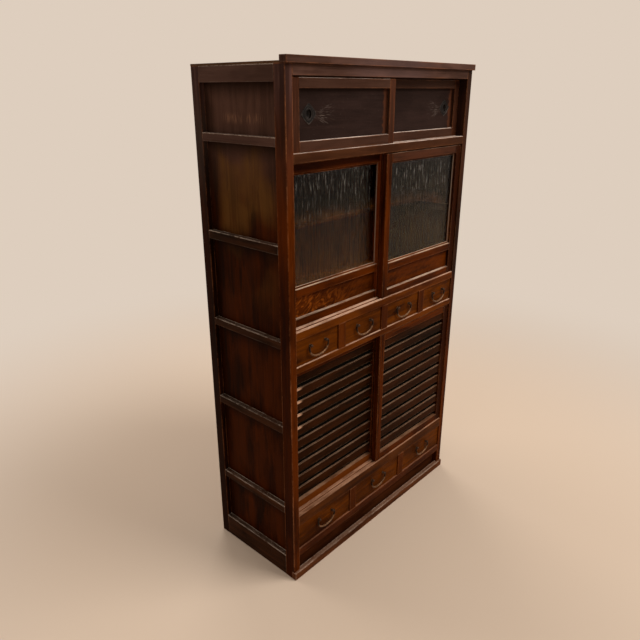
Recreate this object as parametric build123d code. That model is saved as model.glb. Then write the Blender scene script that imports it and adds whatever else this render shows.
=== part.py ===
from build123d import *
import os

# A mizuya kitchen cabinet: a tall free-standing cupboard of posts and rails with
# panelled sides. From the top it holds a pair of board doors, a pair of glazed
# doors, four small drawers, a pair of slatted doors and three wide drawers.
#
# Frame: z = 0 is the floor, x = 0 the middle of the front, the front faces -Y,
# and y = 0 is halfway between the cornice's face and the back. Sizes are mm.

# ---------------------------------------------------------------- the carcase
BODY_WIDTH = 976
BODY_DEPTH = 406
CORNICE_PROJECTION = 10
CORNICE_OVERHANG = 3
CORNICE_HEIGHT = 20
CORNICE_DEPTH = 28
TOP_BOARD = 6

POST_TOP = 1730
POST_FACE = 29
FRONT_POST_DEPTH = 43
BACK_POST_DEPTH = 37

FRONT_Y = -BODY_DEPTH / 2 + CORNICE_PROJECTION / 2
BACK_Y = FRONT_Y + BODY_DEPTH
HALF_WIDTH = BODY_WIDTH / 2
HALF_OPENING = HALF_WIDTH - POST_FACE

# Front rails, each as (bottom, top).
BOTTOM_RAIL = (91, 121)
SLAT_SILL = (222, 264)
DRAWER_RAIL = (819, 841)
GLASS_SILL = (932, 960)
UPPER_SILL = (1470, 1498)
HEAD_RAIL = (1700, POST_TOP)
TRACK_RAIL_DEPTH = 62
BOTTOM_RAIL_DEPTH = 40

# Side rails, each as (bottom, top), and the panels held between them.
SIDE_RAILS = [(0, 86), (274, 301), (596, 624), (902, 928), (1207, 1235), (1515, 1541), (1684, POST_TOP)]
SIDE_RAIL_THICKNESS = 27
SIDE_PANEL_RECESS = 18
SIDE_PANEL = 6
PANEL_GROOVE = 7

# Back rails sit at the floors; three planks fill each bay between them.
BACK_RAILS = [(60, 121), SLAT_SILL, DRAWER_RAIL, GLASS_SILL, UPPER_SILL, (1684, POST_TOP)]
BACK_RAIL_THICKNESS = 22
BACK_BOARD = 6
BACK_BOARD_SETBACK = 4
BACK_GROOVE = 6
PLANKS_PER_BAY = 3

TENON_LENGTH = 15
TENON_THICKNESS = 10
TENON_SHOULDER = 4
TENON_SETBACK = 8
SIDE_TENON_LENGTH = 12
SIDE_TENON_SETBACK = 6

FLOOR_BOARD = 9
SHELF_BOARD = 12
SHELF_FRONT_GAP = 76
CLEAT = (18, 18)
SHELF_CLEAT_HEIGHT = 30
GLASS_SHELF_Z = SIDE_RAILS[4][1] + SHELF_CLEAT_HEIGHT
SLAT_SHELF_Z = SIDE_RAILS[2][1] + SHELF_CLEAT_HEIGHT

BASE_STRIP_HEIGHT = 30
BASE_STRIP_DEPTH = 18
BASE_STRIP_PROJECTION = 8
KICK_BOARD = 8
KICK_RECESS = 22

ARRIS = 1

# ------------------------------------------------------------------ the doors
DOOR_THICKNESS = 22
FRONT_TRACK = 5
BACK_TRACK = 33
STILE = 29
DOOR_OVERLAP = 30
DOOR_SIDE_GAP = 1
SILL_GAP = 0.5
HEAD_GAP = 4.5
TRACK_GROOVE = 8
SILL_GROOVE_DEPTH = 4
HEAD_GROOVE_DEPTH = 12
TONGUE = 7
SILL_TONGUE = 3.5
HEAD_TONGUE = 7
DOOR_TENON = 8
INFILL_SETBACK = 12
INFILL_GROOVE = 5
DOOR_PANEL = 6
GLASS = 3
BEAD = (6, 4)

UPPER_DOOR_RAILS = (30, 28)
GLASS_DOOR_RAILS = (27, 28)
GLASS_DOOR_LOWER_PANEL = 71
GLASS_DOOR_MIDDLE_RAIL = 27
SLAT_DOOR_RAILS = (29, 28)
SLAT_COUNT = 10
SLAT_HEIGHT = 32
SLAT_THICKNESS = 8
SLAT_SETBACK = 5
MESH = 1
MESH_SETBACK = 16

PULL_FROM_EDGE = 79
PULL_Z = 1600
PULL_PLATE = (66, 60)
PULL_PLATE_CORNER = 4
PULL_PLATE_THICKNESS = 1.2
PULL_OVAL = (11.5, 14)
PULL_CUP_DEPTH = 8.5
PULL_CUP_WALL = 1

# ---------------------------------------------------------------- the drawers
UPPER_DRAWERS = 4
LOWER_DRAWERS = 3
DIVIDER = 37
DIVIDER_DEPTH = 30
DIVIDER_TENON = (20, 12, 6)
GUIDE_HEIGHT = 16
GUIDE_PLAY = 2
DRAWER_INSET = 5
DRAWER_GAP = 1
DRAWER_FLOAT = 0.5
DRAWER_FRONT = 18
DRAWER_SIDE = 9
DRAWER_BOTTOM = 6
DRAWER_TOP_STEP = 9
DRAWER_BACK_STEP = 14
DRAWER_BACK_CLEARANCE = 6

BAIL_SPACING = 72
BAIL_BELOW_RAIL = 33
BAIL_DROP = 42
BAIL_RADIUS = 3
BAIL_EYE_RADIUS = 4
BAIL_EYE_PLAY = 0.5
BAIL_PIN_RADIUS = 2
PIN_CLEARANCE = 0.08
POST_BALL_RADIUS = 5.5
POST_STANDOFF = 8
POST_STEM_RADIUS = 2.5
POST_COLLAR = (4.5, 1)
POST_WASHER = (6, 1)
POST_CLENCH = 3


def block(x, y, z):
    """A box from three (low, high) pairs, in either order."""
    lengths = [abs(pair[1] - pair[0]) for pair in (x, y, z)]
    middle = [(pair[0] + pair[1]) / 2 for pair in (x, y, z)]
    return Pos(*middle) * Box(*lengths)


def softened(solid, axis):
    """The same solid with its long edges along one axis eased by a small chamfer."""
    return chamfer(solid.edges().filter_by(axis), ARRIS)


def write(name, pieces):
    """Write one node: a single solid, or a group of separate ones."""
    shape = pieces[0] if len(pieces) == 1 else Compound(children=pieces)
    export_step(shape, f"parts/{name}.step")


def cut(solid, tools):
    """The solid less every tool in the list, as one solid."""
    for tool in tools:
        solid = solid - tool
    return solid


def track_y(setback):
    """The (front, back) of a door body that runs the given distance behind the front."""
    return (FRONT_Y + setback, FRONT_Y + setback + DOOR_THICKNESS)


def centred(pair, width):
    """A (low, high) pair of the given width in the middle of another pair."""
    middle = (pair[0] + pair[1]) / 2
    return (middle - width / 2, middle + width / 2)


def inset(pair, distance):
    """A pair brought in at both ends, or let out if the distance is negative."""
    return (pair[0] + distance, pair[1] - distance)


# ------------------------------------------------------------ carcase members
OPENING_X = (-HALF_OPENING, HALF_OPENING)
FRONT_POST_Y = (FRONT_Y, FRONT_Y + FRONT_POST_DEPTH)
BACK_POST_Y = (BACK_Y - BACK_POST_DEPTH, BACK_Y)
BACK_RAIL_Y = (BACK_Y - BACK_RAIL_THICKNESS, BACK_Y)
BACK_BOARD_Y = (BACK_RAIL_Y[0] + BACK_BOARD_SETBACK, BACK_RAIL_Y[0] + BACK_BOARD_SETBACK + BACK_BOARD)
SIDE_SPAN = (FRONT_POST_Y[1], BACK_POST_Y[0])
TRACK_BACK_Y = FRONT_Y + TRACK_RAIL_DEPTH
BASE_STRIP_Y = (FRONT_Y - BASE_STRIP_PROJECTION, FRONT_Y - BASE_STRIP_PROJECTION + BASE_STRIP_DEPTH)


def front_rail_tenons(rail_z):
    """The stub tenons at both ends of a front rail."""
    tenon_y = (FRONT_Y + TENON_SETBACK, FRONT_Y + TENON_SETBACK + TENON_THICKNESS)
    return [
        block((side * HALF_OPENING, side * (HALF_OPENING + TENON_LENGTH)), tenon_y, inset(rail_z, TENON_SHOULDER))
        for side in (-1, 1)
    ]


def back_rail_tenons(rail_z):
    """The stub tenons at both ends of a back rail."""
    tenon_y = centred(BACK_RAIL_Y, TENON_THICKNESS)
    return [
        block((side * HALF_OPENING, side * (HALF_OPENING + TENON_LENGTH)), tenon_y, inset(rail_z, TENON_SHOULDER))
        for side in (-1, 1)
    ]


def side_x(side, near, far):
    """An x pair on one side, measured inwards from the cabinet's outer face."""
    return (side * (HALF_WIDTH - near), side * (HALF_WIDTH - far))


def side_rail_tenons(side, rail_z):
    """The stub tenons of a side rail, into the front post and the back post."""
    tenon_x = side_x(side, SIDE_TENON_SETBACK, SIDE_TENON_SETBACK + TENON_THICKNESS)
    tenon_z = inset(rail_z, TENON_SHOULDER)
    front = block(tenon_x, (SIDE_SPAN[0] - SIDE_TENON_LENGTH, SIDE_SPAN[0]), tenon_z)
    back = block(tenon_x, (SIDE_SPAN[1], SIDE_SPAN[1] + SIDE_TENON_LENGTH), tenon_z)
    return [front, back]


def side_panel(side, lower_rail, upper_rail):
    """A thin board let into the grooves of two side rails and both posts."""
    panel_x = side_x(side, SIDE_PANEL_RECESS, SIDE_PANEL_RECESS + SIDE_PANEL)
    panel_z = (lower_rail[1] - PANEL_GROOVE, upper_rail[0] + PANEL_GROOVE)
    return block(panel_x, inset(SIDE_SPAN, -PANEL_GROOVE), panel_z)


def side_panels(side):
    return [side_panel(side, low, high) for low, high in zip(SIDE_RAILS, SIDE_RAILS[1:])]


def side_rail(side, rail_z):
    """One side rail with its tenons, grooved for the panels above and below."""
    body = block(side_x(side, 0, SIDE_RAIL_THICKNESS), SIDE_SPAN, rail_z)
    body = softened(body, Axis.Y)
    for tenon in side_rail_tenons(side, rail_z):
        body = body + tenon
    return cut(body, side_panels(side))


def all_side_tenons(side):
    return [tenon for rail_z in SIDE_RAILS for tenon in side_rail_tenons(side, rail_z)]


def base_strip():
    """The strip along the foot of the front, half-lapped into both front posts."""
    strip = block((-HALF_WIDTH, HALF_WIDTH), BASE_STRIP_Y, (0, BASE_STRIP_HEIGHT))
    return softened(strip, Axis.X)


FRONT_RAILS = [BOTTOM_RAIL, SLAT_SILL, DRAWER_RAIL, GLASS_SILL, UPPER_SILL, HEAD_RAIL]


def front_post(side):
    """A front post with its mortises, panel groove and the notch for the base strip."""
    post = block(side_x(side, 0, POST_FACE), FRONT_POST_Y, (0, POST_TOP))
    post = softened(post, Axis.Z)
    mortises = [tenon for rail_z in FRONT_RAILS for tenon in front_rail_tenons(rail_z)]
    notch = block((-HALF_WIDTH, HALF_WIDTH), BASE_STRIP_Y, (0, BASE_STRIP_HEIGHT))
    return cut(post, mortises + all_side_tenons(side) + side_panels(side) + [notch])


def back_planks():
    """The thin upright planks of the back, three to a bay, side by side."""
    edge = HALF_OPENING + BACK_GROOVE
    plank = 2 * edge / PLANKS_PER_BAY
    planks = []
    for low, high in zip(BACK_RAILS, BACK_RAILS[1:]):
        bay_z = (low[1] - BACK_GROOVE, high[0] + BACK_GROOVE)
        for index in range(PLANKS_PER_BAY):
            left = -edge + index * plank
            planks.append(block((left, left + plank), BACK_BOARD_Y, bay_z))
    return planks


def back_post(side):
    """A back post with its mortises and the grooves for side and back boards."""
    post = block(side_x(side, 0, POST_FACE), BACK_POST_Y, (0, POST_TOP))
    post = softened(post, Axis.Z)
    mortises = [tenon for rail_z in BACK_RAILS for tenon in back_rail_tenons(rail_z)]
    return cut(post, mortises + all_side_tenons(side) + side_panels(side) + back_planks())


def back_rail(rail_z):
    body = block(OPENING_X, BACK_RAIL_Y, rail_z)
    for tenon in back_rail_tenons(rail_z):
        body = body + tenon
    return cut(body, back_planks())


def track_grooves(rail_edge, depth):
    """Two grooves of the given depth, cut from one face of a rail across the opening."""
    grooves = []
    for setback in (FRONT_TRACK, BACK_TRACK):
        groove_y = centred(track_y(setback), TRACK_GROOVE)
        grooves.append(block(OPENING_X, groove_y, (rail_edge, rail_edge + depth)))
    return grooves


def front_rail(rail_z, depth, grooves, divider_tenons=()):
    """A front rail between the posts, with tenons, door tracks and divider mortises."""
    body = block(OPENING_X, (FRONT_Y, FRONT_Y + depth), rail_z)
    body = softened(body, Axis.X)
    for tenon in front_rail_tenons(rail_z):
        body = body + tenon
    return cut(body, list(grooves) + list(divider_tenons))


# -------------------------------------------------- drawer rows and dividers
UPPER_ROW_Z = (DRAWER_RAIL[1], GLASS_SILL[0])
LOWER_ROW_Z = (BOTTOM_RAIL[1], SLAT_SILL[0])


def drawer_bays(count):
    """The x pair of each drawer opening in a row of the given count."""
    bay = (2 * HALF_OPENING - (count - 1) * DIVIDER) / count
    starts = [-HALF_OPENING + index * (bay + DIVIDER) for index in range(count)]
    return [(start, start + bay) for start in starts]


def divider_gaps(count):
    """The x pair of each divider between the drawers of a row."""
    bays = drawer_bays(count)
    return [(left[1], right[0]) for left, right in zip(bays, bays[1:])]


def divider_tenons(count, row_z):
    """The stub tenons above and below each divider of a row."""
    width, thickness, height = DIVIDER_TENON
    tenon_y = centred((FRONT_Y, FRONT_Y + DIVIDER_DEPTH), thickness)
    tenons = []
    for gap in divider_gaps(count):
        tenons.append(block(centred(gap, width), tenon_y, (row_z[0] - height, row_z[0])))
        tenons.append(block(centred(gap, width), tenon_y, (row_z[1], row_z[1] + height)))
    return tenons


def dividers(count, row_z):
    """The short uprights between the drawers of one row."""
    tenons = divider_tenons(count, row_z)
    pieces = []
    for index, gap in enumerate(divider_gaps(count)):
        body = block(gap, (FRONT_Y, FRONT_Y + DIVIDER_DEPTH), row_z)
        body = softened(body, Axis.Z)
        pieces.append(body + tenons[2 * index] + tenons[2 * index + 1])
    return pieces


def drawer_guides(count, floor_z):
    """The strips behind the dividers that keep the drawers apart."""
    guide_y = (FRONT_Y + DIVIDER_DEPTH, BACK_RAIL_Y[0])
    guides = []
    for gap in divider_gaps(count):
        guides.append(block(inset(gap, GUIDE_PLAY), guide_y, (floor_z, floor_z + GUIDE_HEIGHT)))
    return guides


def floor_board(top, front):
    return block(OPENING_X, (front, BACK_RAIL_Y[0]), (top - FLOOR_BOARD, top))


def cleats(top, front):
    """The pair of strips along the sides that carry a floor or a shelf."""
    width, height = CLEAT
    cleat_y = (front, BACK_RAIL_Y[0])
    return [
        block((side * HALF_OPENING, side * (HALF_OPENING - width)), cleat_y, (top - height, top))
        for side in (-1, 1)
    ]


def shelf_cleats(top, front):
    """Shelf cleats lie on top of a side rail's edge, flat against the side panels."""
    cleat_y = (front, BACK_POST_Y[0])
    outer = HALF_WIDTH - SIDE_PANEL_RECESS - SIDE_PANEL
    return [
        block((side * outer, side * (HALF_OPENING - CLEAT[0])), cleat_y, (top - SHELF_CLEAT_HEIGHT, top))
        for side in (-1, 1)
    ]


def make_carcase():
    write("front_post_left", [front_post(-1)])
    write("front_post_right", [front_post(1)])
    write("back_posts", [back_post(side) for side in (-1, 1)])
    write("side_rails", [side_rail(side, rail_z) for side in (-1, 1) for rail_z in SIDE_RAILS])
    write("side_panels", side_panels(-1) + side_panels(1))
    write("back_rails", [back_rail(rail_z) for rail_z in BACK_RAILS])
    write("back_boards", back_planks())

    cornice_y = (FRONT_Y - CORNICE_PROJECTION, FRONT_Y - CORNICE_PROJECTION + CORNICE_DEPTH)
    cornice_x = (-HALF_WIDTH - CORNICE_OVERHANG, HALF_WIDTH + CORNICE_OVERHANG)
    cornice = block(cornice_x, cornice_y, (POST_TOP, POST_TOP + CORNICE_HEIGHT))
    write("cornice", [chamfer(cornice.edges(), ARRIS)])
    top_z = (POST_TOP, POST_TOP + TOP_BOARD)
    write("top_board", [block((-HALF_WIDTH, HALF_WIDTH), (cornice_y[1], BACK_Y), top_z)])

    upper_tenons = divider_tenons(UPPER_DRAWERS, UPPER_ROW_Z)
    lower_tenons = divider_tenons(LOWER_DRAWERS, LOWER_ROW_Z)
    head_grooves = track_grooves(HEAD_RAIL[0], HEAD_GROOVE_DEPTH)
    upper_sill_grooves = track_grooves(UPPER_SILL[1], -SILL_GROOVE_DEPTH)
    upper_sill_grooves += track_grooves(UPPER_SILL[0], HEAD_GROOVE_DEPTH)
    glass_sill_grooves = track_grooves(GLASS_SILL[1], -SILL_GROOVE_DEPTH)
    drawer_rail_grooves = track_grooves(DRAWER_RAIL[0], HEAD_GROOVE_DEPTH)
    slat_sill_grooves = track_grooves(SLAT_SILL[1], -SILL_GROOVE_DEPTH)
    write("head_rail", [front_rail(HEAD_RAIL, TRACK_RAIL_DEPTH, head_grooves)])
    write("upper_door_sill", [front_rail(UPPER_SILL, TRACK_RAIL_DEPTH, upper_sill_grooves)])
    write("glass_door_sill", [front_rail(GLASS_SILL, TRACK_RAIL_DEPTH, glass_sill_grooves, upper_tenons)])
    write("drawer_rail", [front_rail(DRAWER_RAIL, TRACK_RAIL_DEPTH, drawer_rail_grooves, upper_tenons)])
    write("slat_door_sill", [front_rail(SLAT_SILL, TRACK_RAIL_DEPTH, slat_sill_grooves, lower_tenons)])
    write("bottom_rail", [front_rail(BOTTOM_RAIL, BOTTOM_RAIL_DEPTH, (), lower_tenons)])

    upper_dividers = dividers(UPPER_DRAWERS, UPPER_ROW_Z)
    lower_dividers = dividers(LOWER_DRAWERS, LOWER_ROW_Z)
    write("drawer_dividers", upper_dividers + lower_dividers)

    floors = [floor_board(BOTTOM_RAIL[1], FRONT_Y + BOTTOM_RAIL_DEPTH)]
    supports = cleats(BOTTOM_RAIL[1] - FLOOR_BOARD, FRONT_Y + BOTTOM_RAIL_DEPTH)
    for level in (SLAT_SILL, DRAWER_RAIL, GLASS_SILL, UPPER_SILL):
        floors.append(floor_board(level[1], TRACK_BACK_Y))
        supports += cleats(level[1] - FLOOR_BOARD, TRACK_BACK_Y)
    write("compartment_floors", floors)

    shelf_front = FRONT_Y + SHELF_FRONT_GAP
    shelves = []
    for level in (SLAT_SHELF_Z, GLASS_SHELF_Z):
        shelves.append(block(OPENING_X, (shelf_front, BACK_RAIL_Y[0]), (level, level + SHELF_BOARD)))
        supports += shelf_cleats(level, shelf_front)
    write("shelves", shelves)

    supports += drawer_guides(UPPER_DRAWERS, UPPER_ROW_Z[0])
    supports += drawer_guides(LOWER_DRAWERS, LOWER_ROW_Z[0])
    write("cleats_and_guides", supports)

    write("base_strip", [base_strip()])
    kick_y = (FRONT_Y + KICK_RECESS, FRONT_Y + KICK_RECESS + KICK_BOARD)
    write("kick_board", [block(OPENING_X, kick_y, (0, BOTTOM_RAIL[0]))])


# ---------------------------------------------------------------- door pieces
def door_x(side):
    """The x pair of a closed door on the left (-1) or the right (1)."""
    outer = side * (HALF_OPENING - DOOR_SIDE_GAP)
    inner = -side * DOOR_OVERLAP / 2
    return (min(outer, inner), max(outer, inner))


def door_member(x, y, z, body_z, axis):
    """A stile or rail of a door; where it meets the sill or the head it has a tongue."""
    member = softened(block(x, y, z), axis)
    tongue_y = centred(y, TONGUE)
    if z[0] == body_z[0]:
        member = member + block(x, tongue_y, (z[0] - SILL_TONGUE, z[0]))
    if z[1] == body_z[1]:
        member = member + block(x, tongue_y, (z[1], z[1] + HEAD_GAP + HEAD_TONGUE))
    return member


def rail_tenons(x, y, z):
    """The stub tenons at both ends of a door rail."""
    tenon_y = centred(y, DOOR_TENON)
    tenon_z = inset(z, TENON_SHOULDER)
    left = block((x[0] - TENON_LENGTH, x[0]), tenon_y, tenon_z)
    right = block((x[1], x[1] + TENON_LENGTH), tenon_y, tenon_z)
    return [left, right]


def door_frame(side, setback, body_z, rails, housed):
    """Two stiles and the given rails, cut for everything that the frame houses."""
    x = door_x(side)
    y = track_y(setback)
    inner_x = inset(x, STILE)
    tenons = [tenon for rail_z in rails for tenon in rail_tenons(inner_x, y, rail_z)]
    pieces = []
    for stile_x in ((x[0], inner_x[0]), (inner_x[1], x[1])):
        stile = door_member(stile_x, y, body_z, body_z, Axis.Z)
        pieces.append(cut(stile, tenons + housed))
    for index, rail_z in enumerate(rails):
        rail = door_member(inner_x, y, rail_z, body_z, Axis.X)
        rail = rail + tenons[2 * index] + tenons[2 * index + 1]
        pieces.append(cut(rail, housed))
    return pieces


def infill(side, setback, z, start, thickness):
    """A sheet let into the groove of a door frame; z is the pair between two rails."""
    sheet_x = inset(door_x(side), STILE - INFILL_GROOVE)
    front = FRONT_Y + setback + start
    return block(sheet_x, (front, front + thickness), inset(z, -INFILL_GROOVE))


def body_between(sill, head):
    """The z pair of a door body that stands on one rail under another."""
    return (sill[1] + SILL_GAP, head[0] - HEAD_GAP)


def pull(x, face_y):
    """A lozenge plate with an oval finger cup, set into a hole in the door panel."""
    wide, tall = PULL_PLATE
    across, up = PULL_OVAL
    plane = Plane(origin=(x, face_y, PULL_Z), x_dir=(1, 0, 0), z_dir=(0, -1, 0))
    lozenge = Polygon((wide / 2, 0), (0, tall / 2), (-wide / 2, 0), (0, -tall / 2))
    lozenge = fillet(lozenge.vertices(), PULL_PLATE_CORNER)
    plate = extrude(plane * lozenge, PULL_PLATE_THICKNESS)
    cup = extrude(plane * Ellipse(across, up), -PULL_CUP_DEPTH)
    bowl = (across - PULL_CUP_WALL, up - PULL_CUP_WALL)
    hollow = extrude(plane * Ellipse(*bowl), -(PULL_CUP_DEPTH - PULL_CUP_WALL))
    mouth = extrude(plane * Ellipse(*bowl), PULL_PLATE_THICKNESS)
    return plate + cup - hollow - mouth


def pull_hole(x, face_y):
    plane = Plane(origin=(x, face_y, PULL_Z), x_dir=(1, 0, 0), z_dir=(0, -1, 0))
    return extrude(plane * Ellipse(*PULL_OVAL), -PULL_CUP_DEPTH)


def make_upper_door(name, side, setback):
    body_z = body_between(UPPER_SILL, HEAD_RAIL)
    bottom = (body_z[0], body_z[0] + UPPER_DOOR_RAILS[0])
    top = (body_z[1] - UPPER_DOOR_RAILS[1], body_z[1])
    panel = infill(side, setback, (bottom[1], top[0]), INFILL_SETBACK, DOOR_PANEL)
    write(f"{name}_frame", door_frame(side, setback, body_z, [bottom, top], [panel]))
    face_y = FRONT_Y + setback + INFILL_SETBACK
    pull_x = side * (HALF_OPENING - PULL_FROM_EDGE)
    write(f"{name}_panel", [panel - pull_hole(pull_x, face_y)])
    write(f"{name}_pull", [pull(pull_x, face_y)])


def glazing_beads(side, setback, z):
    """Four thin beads in front of the glass, butted at the corners."""
    width, depth = BEAD
    x = inset(door_x(side), STILE)
    face = FRONT_Y + setback + INFILL_SETBACK
    y = (face - depth, face)
    return [
        block((x[0], x[0] + width), y, z),
        block((x[1] - width, x[1]), y, z),
        block(inset(x, width), y, (z[0], z[0] + width)),
        block(inset(x, width), y, (z[1] - width, z[1])),
    ]


def make_glass_door(name, side, setback):
    body_z = body_between(GLASS_SILL, UPPER_SILL)
    bottom = (body_z[0], body_z[0] + GLASS_DOOR_RAILS[0])
    middle_start = bottom[1] + GLASS_DOOR_LOWER_PANEL
    middle = (middle_start, middle_start + GLASS_DOOR_MIDDLE_RAIL)
    top = (body_z[1] - GLASS_DOOR_RAILS[1], body_z[1])
    panel = infill(side, setback, (bottom[1], middle[0]), INFILL_SETBACK, DOOR_PANEL)
    glass = infill(side, setback, (middle[1], top[0]), INFILL_SETBACK, GLASS)
    frame = door_frame(side, setback, body_z, [bottom, middle, top], [panel, glass])
    write(f"{name}_frame", frame + glazing_beads(side, setback, (middle[1], top[0])))
    write(f"{name}_glass", [glass])
    write(f"{name}_lower_panel", [panel])


def slat_z(index, lowest, gap):
    """The z pair of one slat, counted upwards; each has a gap below it."""
    start = lowest + gap + index * (SLAT_HEIGHT + gap)
    return (start, start + SLAT_HEIGHT)


def make_slat_door(name, side, setback):
    body_z = body_between(SLAT_SILL, DRAWER_RAIL)
    bottom = (body_z[0], body_z[0] + SLAT_DOOR_RAILS[0])
    top = (body_z[1] - SLAT_DOOR_RAILS[1], body_z[1])
    gap = (top[0] - bottom[1]) / SLAT_COUNT - SLAT_HEIGHT
    slat_x = inset(door_x(side), STILE - INFILL_GROOVE)
    front = FRONT_Y + setback + SLAT_SETBACK
    slats = []
    for index in range(SLAT_COUNT):
        slat = block(slat_x, (front, front + SLAT_THICKNESS), slat_z(index, bottom[1], gap))
        slats.append(softened(slat, Axis.X))
    mesh = infill(side, setback, (bottom[1], top[0]), MESH_SETBACK, MESH)
    write(f"{name}_frame", door_frame(side, setback, body_z, [bottom, top], slats + [mesh]))
    write(f"{name}_slats", slats)
    write(f"{name}_mesh", [mesh])


# -------------------------------------------------------------- drawer pieces
def rod(centre, radius, start, end):
    """A round bar along Y through a centre (x, z)."""
    return Pos(centre[0], (start + end) / 2, centre[1]) * Rot(90, 0, 0) * Cylinder(radius, end - start)


def bail_pivots(bay, row_z):
    """The two (x, z) points where a bail hangs on a drawer front."""
    middle = (bay[0] + bay[1]) / 2
    height = row_z[1] - BAIL_BELOW_RAIL
    return [(middle + side * BAIL_SPACING / 2, height) for side in (-1, 1)]


def drawer_box(bay, row_z, stem_holes):
    """A front, two sides, a back and a bottom, nailed together as separate boards."""
    x = inset(bay, DRAWER_GAP)
    face = FRONT_Y + DRAWER_INSET
    front_y = (face, face + DRAWER_FRONT)
    box_y = (front_y[1], BACK_RAIL_Y[0] - DRAWER_BACK_CLEARANCE)
    front = block(x, front_y, (row_z[0] + DRAWER_FLOAT, row_z[1] - DRAWER_GAP))
    front = chamfer(front.faces().sort_by(Axis.Y)[0].edges(), ARRIS)
    bottom_z = (row_z[0] + DRAWER_FLOAT, row_z[0] + DRAWER_FLOAT + DRAWER_BOTTOM)
    side_z = (bottom_z[1], row_z[1] - DRAWER_TOP_STEP)
    back_z = (bottom_z[1], row_z[1] - DRAWER_BACK_STEP)
    sides = [
        block((x[0], x[0] + DRAWER_SIDE), box_y, side_z),
        block((x[1] - DRAWER_SIDE, x[1]), box_y, side_z),
    ]
    back = block(inset(x, DRAWER_SIDE), (box_y[1] - DRAWER_SIDE, box_y[1]), back_z)
    bottom = block(x, box_y, bottom_z)
    return [cut(front, stem_holes)] + sides + [back, bottom]


def turned_step(start, end, radius):
    """Half the outline of one turned step, measured along the post from the ball's centre."""
    return Pos((start + end) / 2, radius / 2) * Rectangle(end - start, radius)


def handle_post(pivot):
    """A ball-headed post through the drawer front, turned in one piece and cross-bored."""
    ball = Circle(POST_BALL_RADIUS) & turned_step(-POST_BALL_RADIUS, POST_BALL_RADIUS, POST_BALL_RADIUS)
    inside = POST_STANDOFF + DRAWER_FRONT
    outline = ball + turned_step(0, inside + POST_CLENCH, POST_STEM_RADIUS)
    outline += turned_step(POST_STANDOFF - POST_COLLAR[1], POST_STANDOFF, POST_COLLAR[0])
    outline += turned_step(inside, inside + POST_WASHER[1], POST_WASHER[0])
    centre = (pivot[0], FRONT_Y + DRAWER_INSET - POST_STANDOFF, pivot[1])
    section = Plane(origin=centre, x_dir=(0, 1, 0), z_dir=(1, 0, 0)) * outline
    post = revolve(section, Axis(centre, (0, 1, 0)))
    bore = Cylinder(BAIL_PIN_RADIUS + PIN_CLEARANCE, 4 * POST_BALL_RADIUS)
    return post - Pos(*centre) * Rot(0, 90, 0) * bore


def bail(pivots):
    """A drop bail: a bar bent to a wide U, with an eye and an inward pin at each end.

    The bar swells a little below the eyes, at a third of the drop, and turns
    inwards above the flat bottom of the U.
    """
    middle = (pivots[0][0] + pivots[1][0]) / 2
    top = pivots[0][1]
    y = FRONT_Y + DRAWER_INSET - POST_STANDOFF
    eye = BAIL_SPACING / 2 + POST_BALL_RADIUS + BAIL_EYE_RADIUS + BAIL_EYE_PLAY
    shoulder = (-eye - 1, -BAIL_DROP * 0.3)
    bend = (-eye * 0.72, -BAIL_DROP * 0.78)
    half = [(-eye, 0), shoulder, bend]
    outline = half + [(0, -BAIL_DROP)] + [(-x, z) for x, z in reversed(half)]
    path = Spline(*[(middle + x, y, top + z) for x, z in outline])
    start = Plane(origin=path @ 0, z_dir=path % 0)
    shape = sweep(start * Circle(BAIL_RADIUS), path=path)
    for side in (-1, 1):
        pin_length = POST_BALL_RADIUS * 2 + BAIL_EYE_PLAY + BAIL_EYE_RADIUS
        pin_x = middle + side * (eye - pin_length / 2)
        shape = shape + Pos(middle + side * eye, y, top) * Sphere(BAIL_EYE_RADIUS)
        shape = shape + Pos(pin_x, y, top) * Rot(0, 90, 0) * Cylinder(BAIL_PIN_RADIUS, pin_length)
    return shape


def make_drawer(name, bay, row_z):
    face = FRONT_Y + DRAWER_INSET
    pivots = bail_pivots(bay, row_z)
    holes = [rod(pivot, POST_STEM_RADIUS, face, face + DRAWER_FRONT) for pivot in pivots]
    write(f"{name}_box", drawer_box(bay, row_z, holes))
    write(f"{name}_posts", [handle_post(pivot) for pivot in pivots])
    write(f"{name}_bail", [bail(pivots)])


os.makedirs("parts", exist_ok=True)
make_carcase()
make_upper_door("upper_left_door", -1, FRONT_TRACK)
make_upper_door("upper_right_door", 1, BACK_TRACK)
make_glass_door("glass_left_door", -1, BACK_TRACK)
make_glass_door("glass_right_door", 1, FRONT_TRACK)
make_slat_door("slat_left_door", -1, BACK_TRACK)
make_slat_door("slat_right_door", 1, FRONT_TRACK)
for number, bay in enumerate(drawer_bays(UPPER_DRAWERS), start=1):
    make_drawer(f"upper_drawer_{number}", bay, UPPER_ROW_Z)
for number, bay in enumerate(drawer_bays(LOWER_DRAWERS), start=1):
    make_drawer(f"lower_drawer_{number}", bay, LOWER_ROW_Z)
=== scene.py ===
import math

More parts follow.
